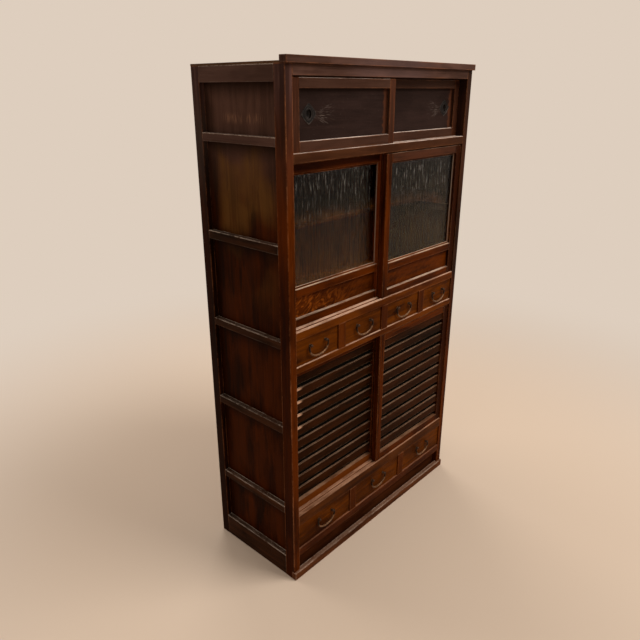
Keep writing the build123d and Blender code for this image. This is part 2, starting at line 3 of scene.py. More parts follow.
import bpy
import numpy as np
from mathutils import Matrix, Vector


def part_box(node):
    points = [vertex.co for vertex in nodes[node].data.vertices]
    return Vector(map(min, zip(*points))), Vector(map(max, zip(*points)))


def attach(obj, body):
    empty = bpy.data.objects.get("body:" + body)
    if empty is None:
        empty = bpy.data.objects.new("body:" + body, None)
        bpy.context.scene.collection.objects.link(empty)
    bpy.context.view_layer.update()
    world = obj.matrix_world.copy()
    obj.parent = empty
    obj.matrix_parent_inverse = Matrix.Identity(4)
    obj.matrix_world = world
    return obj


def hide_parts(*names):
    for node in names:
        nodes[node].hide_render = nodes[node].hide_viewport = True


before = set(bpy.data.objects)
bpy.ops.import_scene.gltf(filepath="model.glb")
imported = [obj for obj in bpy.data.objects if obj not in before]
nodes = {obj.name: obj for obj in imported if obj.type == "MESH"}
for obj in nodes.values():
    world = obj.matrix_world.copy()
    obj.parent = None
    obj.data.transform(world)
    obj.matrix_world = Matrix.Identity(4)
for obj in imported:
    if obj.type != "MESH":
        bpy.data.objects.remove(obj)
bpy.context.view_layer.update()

# The cabinet is taken in the order it is put together: posts, rails and side panels first,
# then the top, the inner boards and the foot, then the three pairs of doors, then the
# drawers with their iron handles, and last the room, the light and the camera.


def fill(tree, node, inputs):
    """Fills a shader node's sockets, by name or number, from values or from other sockets."""
    for socket, value in dict(inputs).items():
        if isinstance(value, bpy.types.NodeSocket):
            tree.links.new(value, node.inputs[socket])
        else:
            node.inputs[socket].default_value = value
    return node.outputs


def add(tree, kind, inputs=(), **settings):
    """Adds a shader node with its settings and inputs, and gives back its outputs."""
    node = tree.nodes.new(kind)
    for name, value in settings.items():
        setattr(node, name, value)
    return fill(tree, node, inputs)


def reckon(tree, operation, first, second=0.0, third=0.0):
    """The result of one Math node."""
    return add(tree, "ShaderNodeMath", {0: first, 1: second, 2: third}, operation=operation)[0]


def times_plus(tree, value, factor, added):
    """Value times factor, plus added."""
    return reckon(tree, "MULTIPLY_ADD", value, factor, added)


def product(tree, *factors):
    """All the factors multiplied together."""
    result = factors[0]
    for factor in factors[1:]:
        result = reckon(tree, "MULTIPLY", result, factor)
    return result


def step(tree, value, low, high, to_low=0.0, to_high=1.0):
    """A smooth rise from to_low to to_high while value goes from low to high."""
    ends = {"Value": value, "From Min": low, "From Max": high, "To Min": to_low, "To Max": to_high}
    return add(tree, "ShaderNodeMapRange", ends, interpolation_type="SMOOTHSTEP")[0]


def band(tree, value, low, high, soft):
    """1 while value lies between low and high, falling to 0 over the distance soft outside them."""
    rise = step(tree, value, low - soft, low)
    fall = step(tree, value, high, high + soft, 1.0, 0.0)
    return product(tree, rise, fall)


def blend(tree, factor, first, second):
    """The number that goes from first to second as factor goes from 0 to 1."""
    return add(tree, "ShaderNodeMix", {0: factor, 2: first, 3: second}, data_type="FLOAT")[0]


def blend_colour(tree, factor, first, second):
    """The colour that goes from first to second as factor goes from 0 to 1."""
    return add(tree, "ShaderNodeMix", {0: factor, 6: first, 7: second}, data_type="RGBA")[2]


def object_place(tree):
    """Object coordinates, which are metres in the cabinet's own frame."""
    return tree.nodes.new("ShaderNodeTexCoord").outputs["Object"]


def split(tree, vector):
    """The X, Y and Z of a vector."""
    return add(tree, "ShaderNodeSeparateXYZ", {0: vector})


def join(tree, x=0.0, y=0.0, z=0.0):
    """A vector of three parts."""
    return add(tree, "ShaderNodeCombineXYZ", {0: x, 1: y, 2: z})[0]


def faced_way(tree):
    """The X, Y and Z of the way the surface faces."""
    return split(tree, tree.nodes.new("ShaderNodeNewGeometry").outputs["Normal"])


def stretched(tree, vector, along, across):
    """The vector scaled by along in X, the way of the grain, and by across in Y and Z."""
    return add(tree, "ShaderNodeMapping", {"Vector": vector, "Scale": (along, across, across)})[0]


def noise(tree, vector, detail=4.0, roughness=0.6, distortion=0.0):
    """A noise with features about one unit of the vector wide, mostly between 0.3 and 0.7."""
    values = {"Vector": vector, "Scale": 1.0, "Detail": detail, "Roughness": roughness}
    values["Distortion"] = distortion
    return add(tree, "ShaderNodeTexNoise", values)["Fac"]


def new_group(name, inputs, outputs):
    """An empty node group. Its sockets take numbers, and the ones called Vector take vectors."""
    group = bpy.data.node_groups.new(name, "ShaderNodeTree")
    for in_out, labels in (("INPUT", inputs), ("OUTPUT", outputs)):
        for label in labels:
            kind = "NodeSocketVector" if label == "Vector" else "NodeSocketFloat"
            group.interface.new_socket(name=label, in_out=in_out, socket_type=kind)
    return group, group.nodes.new("NodeGroupInput").outputs, group.nodes.new("NodeGroupOutput")


def use(tree, group, **values):
    """Places a node group in a tree, with values for its named inputs."""
    node = tree.nodes.new("ShaderNodeGroup")
    node.node_tree = group
    return fill(tree, node, values)


def make_board_figure():
    """Wood grain along X. The rings are contour lines of a long slow noise, which run out as flames.
    The streaks are three noises drawn out along the grain, about 40, 12 and 3 mm wide. Pores are
    short dark dashes, and Cloud is a slow change of tone, about 200 mm long and 70 mm wide."""
    group, given, result = new_group("board figure", ["Vector", "Rings"], ["Figure", "Cloud", "Relief"])
    place = given["Vector"]
    wander = noise(group, stretched(group, place, 1.0, 8.0), 3.0, 0.5)
    rings_a_metre, wandering, fraying = 40.0, 9.0, 0.45
    level_rings = product(group, split(group, place)["Y"], rings_a_metre)
    contour = times_plus(group, wander, wandering, level_rings)
    fray = noise(group, stretched(group, place, 9.0, 160.0), 2.0)
    frayed = times_plus(group, fray, fraying, contour)
    rings = reckon(group, "POWER", reckon(group, "FRACT", frayed), 1.6)
    broad = noise(group, stretched(group, place, 1.7, 26.0), 3.0, 0.55, 0.4)
    middle = noise(group, stretched(group, place, 4.0, 85.0), 3.0, 0.6)
    fine = noise(group, stretched(group, place, 9.0, 380.0), 3.0, 0.7)
    blended = times_plus(group, middle, 0.35, product(group, broad, 0.45))
    streaks = step(group, times_plus(group, fine, 0.2, blended), 0.42, 0.58)
    pores = step(group, noise(group, stretched(group, place, 45.0, 1100.0), 1.0), 0.62, 0.75)
    mixed = blend(group, given["Rings"], streaks, rings)
    cloud = step(group, noise(group, stretched(group, place, 5.0, 14.0), 3.0, 0.6), 0.40, 0.60)
    figure = product(group, mixed, step(group, pores, 0.0, 1.0, 1.0, 0.55))
    relief = reckon(group, "SUBTRACT", reckon(group, "ADD", fine, rings), pores)
    fill(group, result, {"Figure": figure, "Cloud": cloud, "Relief": relief})
    return group


def make_worn_edge():
    """Where a softened normal turns away from the flat one there is an edge; noise breaks it up.
    Upper goes from 0, all edges alike, to 1, only the edges where the softened normal turns up."""
    group, given, result = new_group("worn edge", ["Vector", "Reach", "Wear", "Upper"], ["Mask"])
    flat = group.nodes.new("ShaderNodeNewGeometry").outputs["True Normal"]
    turned = add(group, "ShaderNodeBevel", {"Radius": given["Reach"]}, samples=6)[0]
    facing = add(group, "ShaderNodeVectorMath", {0: flat, 1: turned}, operation="DOT_PRODUCT")["Value"]
    edge = step(group, reckon(group, "SUBTRACT", 1.0, facing), 0.01, 0.1)
    patches = step(group, noise(group, stretched(group, given["Vector"], 9.0, 9.0), 5.0, 0.7), 0.40, 0.62)
    nicks = step(group, noise(group, stretched(group, given["Vector"], 90.0, 90.0), 3.0, 0.6), 0.42, 0.58)
    broken = times_plus(group, patches, 0.75, product(group, nicks, 0.25))
    upward = step(group, split(group, turned)["Z"], 0.04, 0.2)
    chosen = blend(group, given["Upper"], 1.0, upward)
    fill(group, result, {"Mask": product(group, edge, broken, chosen, given["Wear"])})
    return group


def make_dust_and_highlight_film():
    """Dust and rubbed lacquer on what faces up: a smooth film with grit in it. With pale ledge
    colours it also carries a painted highlight along the ledges.
    """
    group, given, result = new_group("settled dust", ["Vector", "Film", "Grit"], ["Mask"])
    level = step(group, faced_way(group)["Z"], 0.45, 0.9)
    cloud = noise(group, stretched(group, given["Vector"], 9.0, 30.0), 5.0, 0.7)
    cloud = step(group, cloud, 0.34, 0.62, 0.3, 1.15)
    specks = noise(group, stretched(group, given["Vector"], 260.0, 260.0), 3.0, 0.7)
    specks = step(group, specks, 0.56, 0.64)
    dust_and_highlight = times_plus(group, cloud, given["Film"], product(group, specks, given["Grit"]))
    mask = add(group, "ShaderNodeMath", {0: dust_and_highlight, 1: level}, operation="MULTIPLY", use_clamp=True)[0]
    fill(group, result, {"Mask": mask})
    return group


FADE_START_Z = 1.28
FADE_FULL_Z = 1.56


def make_faded_height():
    """How far the stain has gone grey: not at all up to the middle of the glass doors, and most at
    the top doors."""
    group, given, result = new_group("faded height", ["Vector"], ["Mask"])
    height = split(group, given["Vector"])["Z"]
    fill(group, result, {"Mask": step(group, height, FADE_START_Z, FADE_FULL_Z)})
    return group


board_figure = make_board_figure()
worn_edge = make_worn_edge()
dust_and_highlight_film = make_dust_and_highlight_film()
faded_height = make_faded_height()
GRAIN_WAYS = {"X": ("X", "Y", "Z"), "Y": ("Y", "X", "Z"), "Z": ("Z", "X", "Y")}


def srgb(red, green, blue):
    """A colour as 0 to 255 display values, turned into the linear values that shaders take."""
    ratios = np.array([red, green, blue]) / 255.0
    linear = np.where(ratios <= 0.04045, ratios / 12.92, ((ratios + 0.055) / 1.055) ** 2.4)
    return (*linear.tolist(), 1.0)


def grain_vector(tree, way):
    """Object coordinates with the member's long axis put first, which is the way of the grain."""
    place = object_place(tree)
    parts = split(tree, place)
    return place, join(tree, *[parts[axis] for axis in GRAIN_WAYS[way]])


WORN_TAN = srgb(156, 98, 62)
DUST = srgb(150, 124, 104)
SHINE_TINT = srgb(255, 190, 130)


def new_material(name):
    """An empty material and its node tree."""
    material = bpy.data.materials.new(name)
    material.use_nodes = True
    material.node_tree.nodes.clear()
    return material, material.node_tree


def principled(tree, values):
    """Ends a material's tree with one Principled shader."""
    surface = add(tree, "ShaderNodeBsdfPrincipled", values)
    add(tree, "ShaderNodeOutputMaterial", {"Surface": surface[0]})


def stained_wood(name, way, deep, light, faded, fade=0.6, rings=0.3, wear=0.6, reach=0.006, film=0.25,
                 grit=0.2, gloss=0.36, upper=0.0, worn=WORN_TAN, dust=DUST, turn=None, more=None):
    """Stained and lacquered wood. deep and light are the grain's two colours, faded is the colour
    that the upper part has gone, dust is the colour of what faces up, which on pale ledges is
    also a painted highlight, and turn and more may bend the grain, add marks of use and paint
    light and shade."""
    material, tree = new_material(name)
    place, grain = grain_vector(tree, way)
    if turn is not None:
        grain = turn(tree, place)
    figure = use(tree, board_figure, Vector=grain, Rings=rings)
    tone = times_plus(tree, figure["Figure"], 0.6, product(tree, figure["Cloud"], 0.4))
    high = product(tree, use(tree, faded_height, Vector=place)["Mask"], fade)
    aged = blend_colour(tree, times_plus(tree, tone, 0.5, 0.5), deep, faded)
    colour = blend_colour(tree, high, blend_colour(tree, tone, deep, light), aged)
    if more is not None:
        colour = more(tree, place, colour, figure)
    rubbed = use(tree, worn_edge, Vector=place, Reach=reach, Wear=wear, Upper=upper)["Mask"]
    dust_and_highlight = use(tree, dust_and_highlight_film, Vector=place, Film=film, Grit=grit)["Mask"]
    colour = blend_colour(tree, rubbed, colour, worn)
    colour = blend_colour(tree, dust_and_highlight, colour, dust)
    rough = times_plus(tree, figure["Figure"], 0.16, gloss)
    rough = times_plus(tree, rubbed, 0.2, rough)
    relief = add(tree, "ShaderNodeBump", {"Strength": 0.3, "Distance": 0.0005, "Height": figure["Relief"]})
    principled(tree, {"Base Color": colour, "Roughness": rough, "Normal": relief[0],
                      "Specular IOR Level": 0.02, "Specular Tint": SHINE_TINT})
    return material


def dress(material, *names):
    """Gives every material slot of the named pieces the same finish."""
    for name in names:
        for part in nodes[name].material_slots:
            part.material = material


FRAME_DEEP = srgb(32, 8, 0)
FRAME_LIGHT = srgb(90, 38, 2)
FRAME_FADED = srgb(82, 54, 44)
CAP_Z = 1.692
CAP_BLEND = 0.16
CAP_DEEP = srgb(50, 32, 28)
CAP_LIGHT = srgb(84, 58, 52)
# Painted shade for the posts' outer sides, strongest low down:
OUTER_SIDE_SHADE = srgb(22, 4, 1)
OUTER_SIDE_SHADE_Z = 1.1
OUTER_PLAIN_Z = 1.3


def capped(tree, place, colour, figure):
    """The more function for the posts: at the head they have the head rail's grey-brown, and up to
    the middle of the glass doors a painted shade makes their outer side darker than the front."""
    height = split(tree, place)["Z"]
    outward = step(tree, reckon(tree, "ABSOLUTE", faced_way(tree)["X"]), 0.5, 0.9)
    side_shade = step(tree, height, OUTER_SIDE_SHADE_Z, OUTER_PLAIN_Z, 0.6, 0.1)
    colour = blend_colour(tree, product(tree, outward, side_shade), colour, OUTER_SIDE_SHADE)
    cap = step(tree, height, CAP_Z - CAP_BLEND, CAP_Z + 0.01)
    return blend_colour(tree, cap, colour, blend_colour(tree, figure["Figure"], CAP_DEEP, CAP_LIGHT))


post_wood = stained_wood("post wood", "Z", FRAME_DEEP, FRAME_LIGHT, FRAME_FADED, fade=0.45, wear=0.95,
                         more=capped)
dress(post_wood, "front_post_left")
dark_post_wood = stained_wood("dark post wood", "Z", srgb(20, 7, 1), srgb(50, 23, 11), srgb(76, 62, 56),
                              fade=0.75, wear=0.7, more=capped)
dress(dark_post_wood, "back_posts")
BRIGHT_TOP_Z = 0.90
DULL_FOOT_Z = 0.96
# Painted shade at the head of the right post:
RIGHT_HEAD_SHADE = srgb(30, 18, 14)
RIGHT_HEAD_SHADE_FROM_Z = 1.60
RIGHT_HEAD_SHADE_AT_Z = 1.68


def shaded_above(tree, place, colour, figure):
    """The more function for the right front post: a painted shade makes it darkest at the head and
    dark down to the foot of the glass doors, and below that it is as orange as the left one's."""
    height = split(tree, place)["Z"]
    bright = blend_colour(tree, figure["Figure"], FRAME_DEEP, FRAME_LIGHT)
    colour = blend_colour(tree, step(tree, height, BRIGHT_TOP_Z, DULL_FOOT_Z, 1.0, 0.0), colour, bright)
    head = step(tree, height, RIGHT_HEAD_SHADE_FROM_Z, RIGHT_HEAD_SHADE_AT_Z, 0.0, 0.6)
    return blend_colour(tree, head, colour, RIGHT_HEAD_SHADE)


# The right post's dark colours are painted shade; below the glass doors it takes the left post's orange.
right_post_wood = stained_wood("right post wood", "Z", srgb(24, 9, 2), srgb(62, 34, 20), srgb(64, 44, 36),
                               fade=0.3, wear=0.4, more=shaded_above)
dress(right_post_wood, "front_post_right")

# --------------------------------------------------------- side rails
# Seven rails a side are tenoned between the posts. They are the same wood, laid with
# the grain along the side, and their upper edges have caught dust and knocks for years;
# their pale worn and dusty edges also carry a painted highlight.
side_rail_wood = stained_wood("side rail wood", "Y", srgb(26, 12, 5), srgb(66, 38, 22), srgb(90, 66, 58),
                              fade=0.95, wear=1.9, reach=0.005, upper=0.9, film=0.14, grit=0.8,
                              worn=srgb(204, 188, 174), dust=srgb(136, 116, 102))
dress(side_rail_wood, "side_rails")

# -------------------------------------------------------- side panels
# Thin upright boards slide in grooves between the rails. Each shows its flat-sawn
# flames, with painted shade at the rim, and amber in the middle, where the stain is thin
# and a sheen is painted.
MIDDLE_RAILS_Z = (0.287, 0.610, 0.915, 1.221, 1.528)
TOP_RAIL_Z = 1.70
AMBER_AND_SHEEN = srgb(98, 66, 30)
AMBER_START_Z = 0.95
AMBER_FULL_Z = 1.3
SCRATCH_PALE = srgb(150, 110, 84)
SCRATCH_Z = 1.585
RIM_SHADE = srgb(14, 5, 1)
BOARD_SHIFT = 3.7


def upright_grain(tree, parts, shift):
    """Grain along Z, read from another place for every value of shift."""
    along = reckon(tree, "ADD", parts["Z"], shift)
    return join(tree, along, parts["X"], reckon(tree, "ADD", parts["Y"], shift))


def separate_boards(tree, place):
    """The turn function for the side panels: grain upright, and shifted along at every rail, so that
    neighbouring panels are different boards."""
    parts = split(tree, place)
    shift = 0.0
    for height in MIDDLE_RAILS_Z:
        above = reckon(tree, "GREATER_THAN", parts["Z"], height)
        shift = times_plus(tree, above, BOARD_SHIFT, shift)
    return upright_grain(tree, parts, shift)


def amber_sheen_scratches_shade(tree, place, colour, figure):
    """The more function for the side panels: the upper middle ones are amber, partly thinly stained
    and partly a painted sheen, the top one has a row of short upright scratches along its foot, and
    all get painted shade under the rails and beside the posts."""
    parts = split(tree, place)
    highest_middle = MIDDLE_RAILS_Z[-1]
    upper = step(tree, parts["Z"], AMBER_START_Z, AMBER_FULL_Z)
    not_top = step(tree, parts["Z"], highest_middle - 0.028, highest_middle + 0.012, 1.0, 0.0)
    patch = step(tree, noise(tree, stretched(tree, place, 5.0, 5.0), 2.0), 0.42, 0.6)
    # Amber of thin stain with a painted sheen:
    thin = product(tree, upper, not_top, patch, band(tree, parts["Y"], -0.1, 0.09, 0.06))
    shown = step(tree, figure["Figure"], 0.1, 0.8, 0.42, 0.72)
    colour = blend_colour(tree, product(tree, thin, shown), colour, AMBER_AND_SHEEN)
    drawn_out = join(tree, product(tree, parts["Y"], 330.0), product(tree, parts["Z"], 16.0))
    strokes = step(tree, noise(tree, drawn_out, 3.0, 0.65), 0.5, 0.62)
    row = band(tree, parts["Z"], SCRATCH_Z - 0.003, SCRATCH_Z + 0.003, 0.018)
    row = product(tree, row, band(tree, parts["Y"], -0.06, 0.05, 0.06))
    colour = blend_colour(tree, product(tree, strokes, row, 0.45), colour, SCRATCH_PALE)
    # Painted shade beside the posts and under each rail:
    rim_shade = step(tree, reckon(tree, "ABSOLUTE", parts["Y"]), 0.11, 0.17, 0.0, 0.5)
    for height in (*MIDDLE_RAILS_Z, TOP_RAIL_Z):
        under = reckon(tree, "SUBTRACT", height, parts["Z"])
        near = step(tree, under, 0.012, 0.075, 0.7, 0.0)
        near = product(tree, near, reckon(tree, "GREATER_THAN", under, 0.0))
        rim_shade = reckon(tree, "MAXIMUM", rim_shade, near)
    return blend_colour(tree, rim_shade, colour, RIM_SHADE)


side_panel_wood = stained_wood("side panel wood", "Z", srgb(24, 6, 0), srgb(68, 28, 4), srgb(92, 66, 56),
                               fade=0.9, rings=0.45, wear=0.0, film=0.0, grit=0.0, gloss=0.4,
                               turn=separate_boards, more=amber_sheen_scratches_shade)
dress(side_panel_wood, "side_panels")

# ------------------------------------------------------- top and cornice
# A moulded strip of the same wood caps the front and stands a little proud of it.
# Behind it a thin unstained board lies on the rails and closes the top.
GREY_DEEP = srgb(42, 25, 18)
GREY_LIGHT = srgb(92, 66, 57)
# A painted grey sheen for the middle of the cornice and the head rail:
GREY_SHEEN = srgb(104, 82, 80)


def grey_sheen_middle(tree, place, colour, figure):
    """The more function for the cornice and the head rail: half way along a painted grey sheen lies on them.
    """
    middle = band(tree, split(tree, place)["X"], -0.12, 0.10, 0.16)
    return blend_colour(tree, product(tree, middle, 0.35), colour, GREY_SHEEN)


cornice_wood = stained_wood("cornice wood", "X", GREY_DEEP, GREY_LIGHT, GREY_LIGHT, fade=0.3, wear=0.7,
                            more=grey_sheen_middle)
dress(cornice_wood, "cornice")
top_wood = stained_wood("top board wood", "X", srgb(60, 38, 24), srgb(98, 68, 44), srgb(86, 66, 50),
                        wear=0.2, film=0.5, grit=0.5, gloss=0.6)
dress(top_wood, "top_board")

# ------------------------------------------------------- front rails
# The rails across the front carry the doors. Sills and head rails have two grooves
# ploughed in them, and the lacquer has gone from the sills where the doors run. Their
# pale ledges are settled dust with a painted highlight.
RAIL_DEEP = srgb(54, 18, 1)
RAIL_LIGHT = srgb(102, 50, 6)
# Dust with a painted highlight for the tops of the drawer rail and the glass-door sill:
LEDGE_DUST_AND_HIGHLIGHT = srgb(206, 170, 146)
head_wood = stained_wood("head rail wood", "X", GREY_DEEP, GREY_LIGHT, GREY_LIGHT, fade=0.3, wear=0.5,
                         more=grey_sheen_middle)
dress(head_wood, "head_rail")
rail_wood = stained_wood("front rail wood", "X", RAIL_DEEP, RAIL_LIGHT, FRAME_FADED, wear=0.6, film=0.8,
                         dust=LEDGE_DUST_AND_HIGHLIGHT)
dress(rail_wood, "drawer_rail")
dress(rail_wood, "glass_door_sill")
# Each sill's ledge colour is dust with a painted highlight:
for node, ledge_dust_and_highlight in (("upper_door_sill", srgb(232, 212, 200)), ("slat_door_sill", srgb(166, 124, 98))):
    sill_wood = stained_wood(f"{node} wood", "X", srgb(42, 17, 4), srgb(84, 44, 16), srgb(70, 44, 30),
                             fade=0.8, wear=0.6, film=0.8, grit=0.1, dust=ledge_dust_and_highlight)
    dress(sill_wood, node)
low_rail_wood = stained_wood("bottom rail wood", "X", srgb(46, 16, 3), srgb(82, 38, 14), FRAME_FADED,
                             wear=0.6, film=0.5, dust=srgb(150, 104, 80))
dress(low_rail_wood, "bottom_rail")
divider_wood = stained_wood("divider wood", "Z", srgb(52, 18, 1), srgb(92, 42, 6), FRAME_FADED, wear=0.5)
dress(divider_wood, "drawer_dividers")

# ------------------------------------------------------- inner boards
# Floors, shelves, cleats and the thin planks of the back are bare softwood that has
# darkened with age, sawn and left without stain.
BARE_DEEP = srgb(76, 46, 20)
BARE_LIGHT = srgb(150, 104, 60)
BARE_FADED = srgb(104, 78, 54)
inner_board = stained_wood("inner board wood", "X", BARE_DEEP, BARE_LIGHT, BARE_FADED, fade=0.3, wear=0.2,
                           film=0.2, gloss=0.62)
dress(inner_board, "compartment_floors", "back_rails")
shelf_board = stained_wood("shelf wood", "X", srgb(52, 32, 18), srgb(92, 64, 40), BARE_FADED, fade=0.2,
                           wear=0.1, film=0.1, gloss=0.62)
dress(shelf_board, "shelves")
inner_cleat = stained_wood("cleat wood", "Y", BARE_DEEP, BARE_LIGHT, BARE_FADED, fade=0.3, wear=0.2,
                           gloss=0.62)
dress(inner_cleat, "cleats_and_guides")
PLANKS_ACROSS = 3
PLANK_SHIFT = 2.3
SEAM_DARK = srgb(18, 10, 6)
back_low, back_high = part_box("back_boards")


def across_planks(tree, place):
    """How many planks lie between the left edge of the back and here, with the part of the last."""
    from_left = reckon(tree, "SUBTRACT", split(tree, place)["X"], back_low.x)
    return product(tree, from_left, PLANKS_ACROSS / (back_high.x - back_low.x))


def separate_planks(tree, place):
    """The turn function for the back: grain upright, and another board for every plank."""
    parts = split(tree, place)
    shift = product(tree, reckon(tree, "FLOOR", across_planks(tree, place)), PLANK_SHIFT)
    return upright_grain(tree, parts, shift)


def plank_seams(tree, place, colour, figure):
    """The more function for the back: a dark seam where planks meet, and each plank has its tone."""
    count = across_planks(tree, place)
    off_seam = reckon(tree, "ABSOLUTE", reckon(tree, "SUBTRACT", count, reckon(tree, "ROUND", count)))
    tone = reckon(tree, "FRACT", product(tree, reckon(tree, "FLOOR", count), 0.618))
    colour = blend_colour(tree, product(tree, tone, 0.35), colour, BARE_DEEP)
    return blend_colour(tree, step(tree, off_seam, 0.003, 0.009, 0.85, 0.0), colour, SEAM_DARK)


back_plank = stained_wood("back plank wood", "Z", srgb(90, 58, 30), srgb(136, 94, 56), BARE_FADED, fade=0.3,
                          wear=0.0, rings=0.5, gloss=0.62, turn=separate_planks, more=plank_seams)
dress(back_plank, "back_boards")

# -------------------------------------------------------------- foot
# A strip is half-lapped across the foot of the front posts, scuffed grey by feet and
# mops, and a thin board set back above it closes the space under the drawers.
foot_wood = stained_wood("foot strip wood", "X", srgb(52, 24, 9), srgb(100, 56, 30), FRAME_FADED, wear=0.95,
                         reach=0.008, upper=0.6, film=0.32, grit=0.6, gloss=0.45, worn=srgb(206, 182, 164),
                         dust=srgb(142, 118, 102))
dress(foot_wood, "base_strip")
kick_wood = stained_wood("kick board wood", "X", srgb(40, 15, 4), srgb(74, 38, 18), FRAME_FADED, wear=0.0,
                         gloss=0.45)
dress(kick_wood, "kick_board")

# ------------------------------------------------------- door frames
# Each door is two stiles with rails tenoned between them, so the grain turns from
# upright to level at every joint. The stain is rubbed thin where hands take hold.
STILE_WIDTH = 0.029
BEAD_WIDTH = 0.006
DOORS = [f"{row}_{side}_door" for row in ("upper", "glass", "slat") for side in ("left", "right")]


def make_joined_grain():
    """Grain along X between two stiles and along Z in them, by the place across the door."""
    group, given, result = new_group("joined grain", ["Vector", "Left", "Right"], ["Vector", "Upright"])
    parts = split(group, given["Vector"])
    left = reckon(group, "LESS_THAN", parts["X"], given["Left"])
    upright = reckon(group, "MAXIMUM", left, reckon(group, "GREATER_THAN", parts["X"], given["Right"]))
    turned = join(group, parts["Z"], parts["X"], parts["Y"])
    chosen = add(group, "ShaderNodeMix", {0: upright, 4: given["Vector"], 5: turned}, data_type="VECTOR")[1]
    fill(group, result, {"Vector": chosen, "Upright": upright})
    return group


joined_grain = make_joined_grain()


def across_door(tree, place, low, high, border):
    """The way of the grain in a door's frame, whose stiles and beads are border wide."""
    return use(tree, joined_grain, Vector=place, Left=low.x + border, Right=high.x - border)


def frame_grain(name, border):
    """The turn function for one door's frame."""
    low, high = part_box(name)

    def turn(tree, place):
        return across_door(tree, place, low, high, border)["Vector"]

    return turn


FAR_STILE_X = 0.42
FAR_STILE_DARK = srgb(28, 7, 2)
RUBBED_FOOT = srgb(140, 74, 26)
GLASS_HEAD_SHADOW = srgb(30, 8, 2)
COVERED_STILE_LIGHT = srgb(122, 52, 14)
BEAD_REFLECTION = srgb(176, 158, 142)
MARKED_EDGE = 0.031
PANE_FOOT_Z = 1.09
PANE_HEAD_Z = 1.435


def warm_stiles(name, border):
    """The more function for a door's frame: its stiles have kept more of the warm stain; the one at
    the far right is darker. The left glass door has a painted shadow at its head and painted light
    where the other door covers it, the left slatted door is rubbed bright along its foot, and a
    painted reflection runs along the right edge of both panes."""
    low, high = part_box(name)

    def warm(tree, place, colour, figure):
        upright = across_door(tree, place, low, high, border)["Upright"]
        parts = split(tree, place)
        strong = blend_colour(tree, figure["Figure"], FRAME_DEEP, FRAME_LIGHT)
        faint = step(tree, parts["Z"], 1.40, 1.55, 0.75, 0.35)
        colour = blend_colour(tree, product(tree, upright, faint), colour, strong)
        far = reckon(tree, "GREATER_THAN", parts["X"], FAR_STILE_X)
        far = product(tree, far, step(tree, parts["Z"], 1.44, 1.52, 1.0, 0.3))
        colour = blend_colour(tree, product(tree, far, 0.85), colour, FAR_STILE_DARK)
        if name.startswith("slat_left"):
            mark_top = low.z + MARKED_EDGE
            foot = step(tree, parts["Z"], mark_top - 0.003, mark_top + 0.003, 0.35, 0.0)
            return blend_colour(tree, foot, colour, RUBBED_FOOT)
        if not name.startswith("glass"):
            return colour
        if name.startswith("glass_left"):
            # Painted shadow of the sill on the left glass door's head:
            mark_foot = high.z - MARKED_EDGE
            head = step(tree, parts["Z"], mark_foot - 0.003, mark_foot + 0.003, 0.0, 0.6)
            colour = blend_colour(tree, head, colour, GLASS_HEAD_SHADOW)
            # Painted light on the stile that the other door covers:
            covered_light = reckon(tree, "GREATER_THAN", parts["X"], high.x - border)
            colour = blend_colour(tree, product(tree, covered_light, 0.7), colour, COVERED_STILE_LIGHT)
        # A painted reflection along the right edge of each pane:
        bead_reflection = reckon(tree, "COMPARE", parts["X"], high.x - border, 0.0008)
        pane_high = band(tree, parts["Z"], PANE_FOOT_Z, PANE_HEAD_Z, 0.002)
        return blend_colour(tree, product(tree, bead_reflection, pane_high, 0.7), colour, BEAD_REFLECTION)

    return warm


FADING = {"upper": 0.95, "glass_left": 0.1, "glass_right": 0.9, "slat": 0.0}
# Ledge colours for the door frames' rails, dust with a painted highlight:
LEDGE_DUSTS_AND_HIGHLIGHTS = {"upper": srgb(232, 212, 200), "glass": srgb(192, 168, 148), "slat": srgb(138, 104, 80)}
for door in DOORS:
    border = STILE_WIDTH + (BEAD_WIDTH if door.startswith("glass") else 0.0)
    frame_node = f"{door}_frame"
    fade = max(amount for start, amount in FADING.items() if door.startswith(start))
    ledge_dust_and_highlight = LEDGE_DUSTS_AND_HIGHLIGHTS[door.split("_")[0]]
    frame_wood = stained_wood(f"{door} frame wood", "X", FRAME_DEEP, FRAME_LIGHT, srgb(70, 49, 40), fade=fade,
                              wear=0.6, film=0.8, dust=ledge_dust_and_highlight, turn=frame_grain(frame_node, border),
                              more=warm_stiles(frame_node, border))
    dress(frame_wood, frame_node)

# --------------------------------------------------- board-door panels
# The panels of the top doors are thin boards of fine level grain, stained nearly
# black, with pale scratches beside the pulls where fingernails have caught.
NAIL_GREY = srgb(150, 134, 126)
RUBBED_STRIP = srgb(100, 56, 34)


